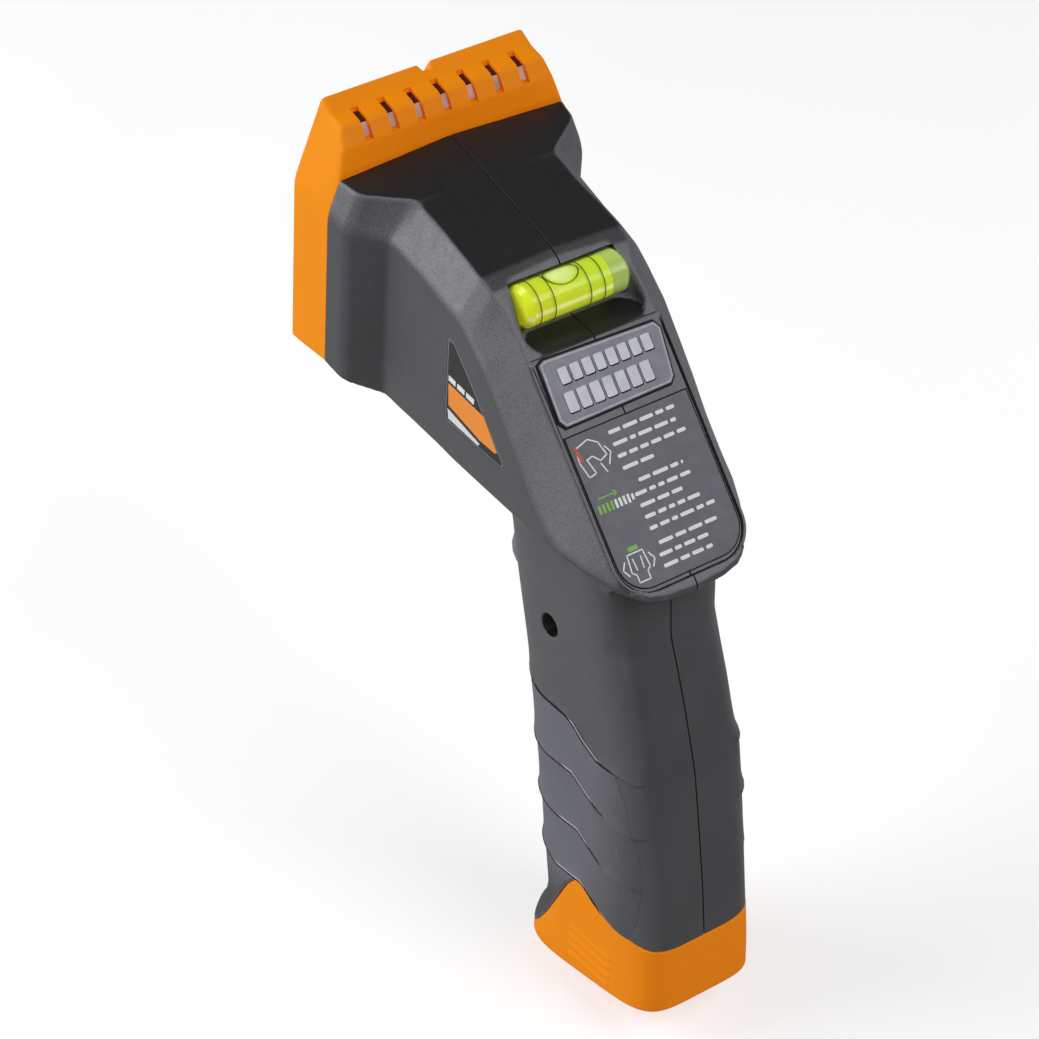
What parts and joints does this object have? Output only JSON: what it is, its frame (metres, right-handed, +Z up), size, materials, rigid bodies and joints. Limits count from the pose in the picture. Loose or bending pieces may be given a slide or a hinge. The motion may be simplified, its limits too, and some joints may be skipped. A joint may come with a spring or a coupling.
{
  "type": "stud finder",
  "caption": "Hand-held electronic stud finder: wide sensing head, clamshell body with spirit vial, trigger and pistol handle with a removable battery cap.",
  "frame": {"origin": "centre of the wall contact face of the sensing plate, at the middle of the head's width", "axes": "+Y out of the sensing face into the wall, +X to the user's right, +Z up; the handle runs down towards -Z and leans back to -Y"},
  "size_m": [0.0686, 0.1281, 0.2031],
  "materials": {
    "shell_plastic": "moulded ABS, fine spark texture",
    "orange_plastic": "moulded ABS, satin",
    "plate_plastic": "moulded ABS, smooth",
    "clear_plastic": "clear acrylic light guide",
    "grip_rubber": "soft moulded grip",
    "trigger_plastic": "moulded ABS",
    "steel": "zinc plated steel",
    "circuit_board": "green glass-fibre board",
    "copper": "tinned copper",
    "led_lens": "LED package",
    "connector_plastic": "natural nylon",
    "chip_plastic": "black moulding compound",
    "cable_film": "flat flexible cable",
    "battery_wrap": "printed steel jacket, plain",
    "nickel": "nickel plated snaps",
    "foam": "foam pad",
    "red_insulation": "wire insulation",
    "black_insulation": "wire insulation",
    "vial_clear": "clear acrylic",
    "vial_liquid": "yellow-green spirit",
    "bubble_air": "air bubble",
    "ink_black": "printed line",
    "badge_metallic": "metallic paint, blank",
    "label_film": "plain printed film, no text"
  },
  "bodies": {
    "housing": {"badge_plate": "badge_metallic", "battery_connector": "chip_plastic", "black_lead": "black_insulation", "board_screws": "steel", "board_socket": "connector_plastic", "buzzer": "chip_plastic", "display_leds": "led_lens", "flex_cable": "cable_film", "front_bezel": "orange_plastic", "instruction_label": "label_film", "left_grip": "grip_rubber", "left_shell": "shell_plastic", "light_pipe": "clear_plastic", "main_board": "circuit_board", "microcontroller": "chip_plastic", "power_socket": "connector_plastic", "red_lead": "red_insulation", "return_spring": "steel", "right_grip": "grip_rubber", "right_shell": "shell_plastic", "sensing_plate": "plate_plastic", "sensor_board": "circuit_board", "sensor_electrodes": "copper", "sensor_socket": "connector_plastic", "shell_screws": "steel", "side_label": "label_film", "switch_board": "circuit_board", "switch_body": "chip_plastic", "trigger_pin": "steel", "vial_fluid": "vial_liquid", "vial_lines": "ink_black", "vial_plug": "vial_clear", "vial_tube": "vial_clear"},
    "trigger": {"trigger": "trigger_plastic"},
    "plunger": {"switch_plunger": "connector_plastic"},
    "cap": {"battery_cap": "orange_plastic", "battery_pad": "foam"},
    "battery_pack": {"battery": "battery_wrap", "battery_terminals": "nickel"},
    "bubble": {"vial_bubble": "bubble_air"}
  },
  "joints": [
    {"name": "trigger_pivot", "type": "hinge", "parent": "housing", "child": "trigger", "pos_m": [0, -0.0655, -0.0505], "axis": [-1, 0, 0], "range_deg": [0, 5], "stiffness_Nm_per_rad": 0.35, "springref_deg": -3.44, "deforming": ["return_spring"]},
    {"name": "switch_press", "type": "slide", "parent": "housing", "child": "plunger", "axis": [0, -1, 0], "range_m": [0, 0.0012]},
    {"name": "cap_release", "type": "slide", "parent": "housing", "child": "cap", "axis": [0, -0.2419, -0.9703], "range_m": [0, 0.07]},
    {"name": "battery_slide", "type": "slide", "parent": "housing", "child": "battery_pack", "axis": [0, -0.2419, -0.9703], "range_m": [0, 0.07]},
    {"name": "bubble_drift", "type": "slide", "parent": "housing", "child": "bubble", "axis": [1, 0, 0], "range_m": [-0.0033, 0.0045]}
  ],
  "couplings": [
    {"joint": "switch_press", "follows": "trigger_pivot", "m_per_rad": 0.012},
    {"joint": "battery_slide", "follows": "cap_release", "ratio": 1}
  ]
}
